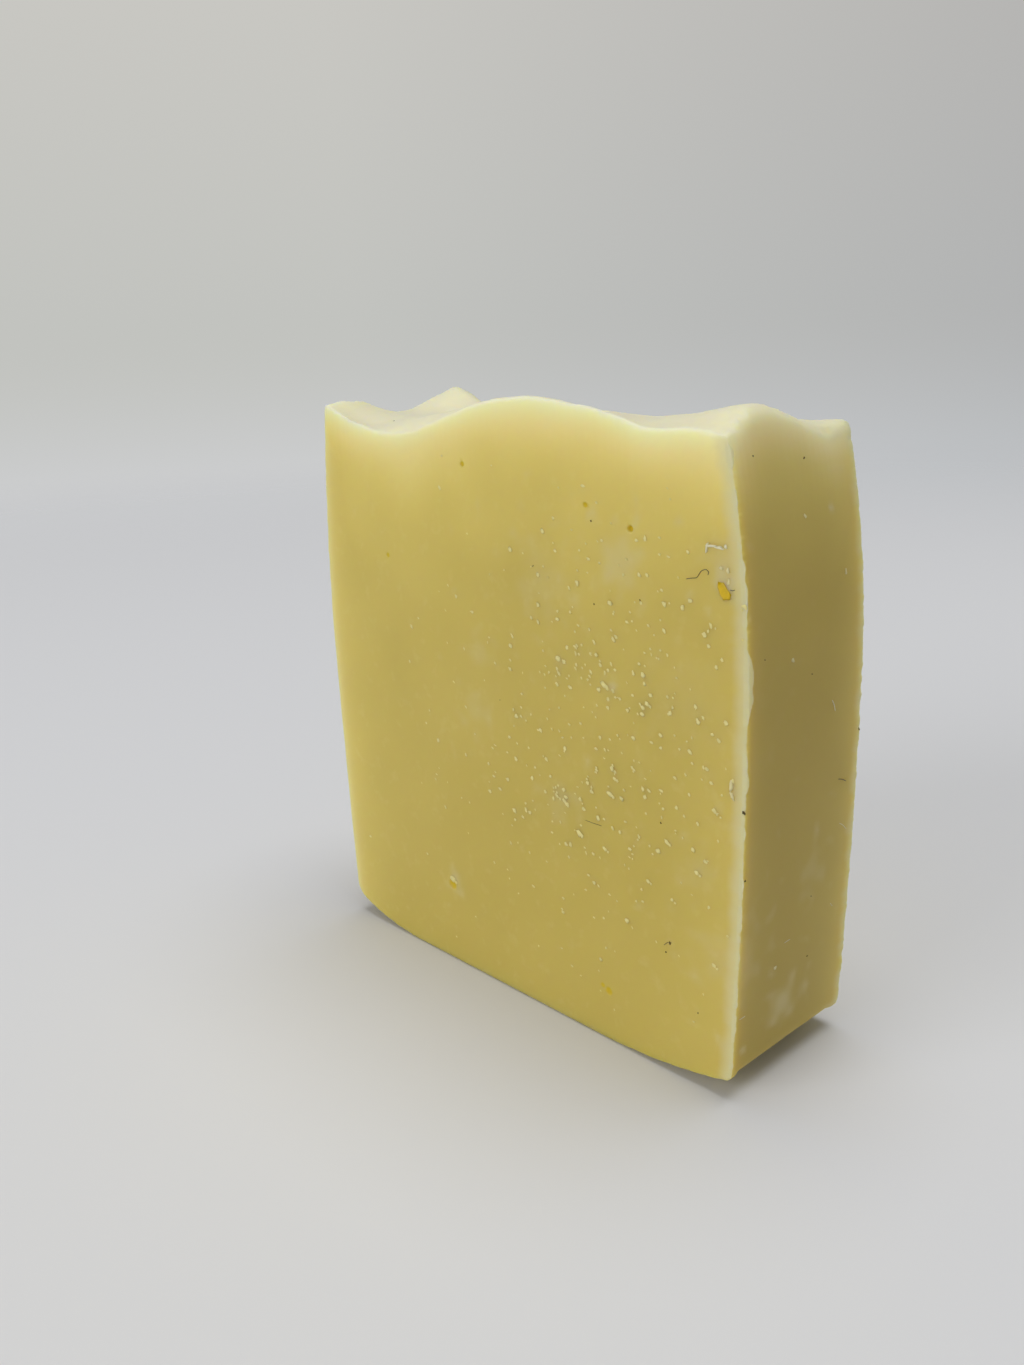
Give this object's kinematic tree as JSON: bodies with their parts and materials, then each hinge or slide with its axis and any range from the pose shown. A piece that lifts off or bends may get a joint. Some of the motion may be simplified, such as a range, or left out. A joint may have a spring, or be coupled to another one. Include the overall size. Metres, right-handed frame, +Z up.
{
  "type": "bar of soap",
  "caption": "Hand-cut loaf soap bar standing on its flat foot, with flat cut faces, slightly bowed sides and a wavy poured top.",
  "frame": {"origin": "on the table, under the middle of the bar", "axes": "+X along the wide cut face to the right, +Y through the thickness from the front cut face to the back, +Z up to the poured top"},
  "size_m": [0.0846, 0.0254, 0.09],
  "materials": {
    "soap": "waxy matte"
  },
  "bodies": {
    "root": {"soap_bar": "soap"}
  },
  "joints": []
}
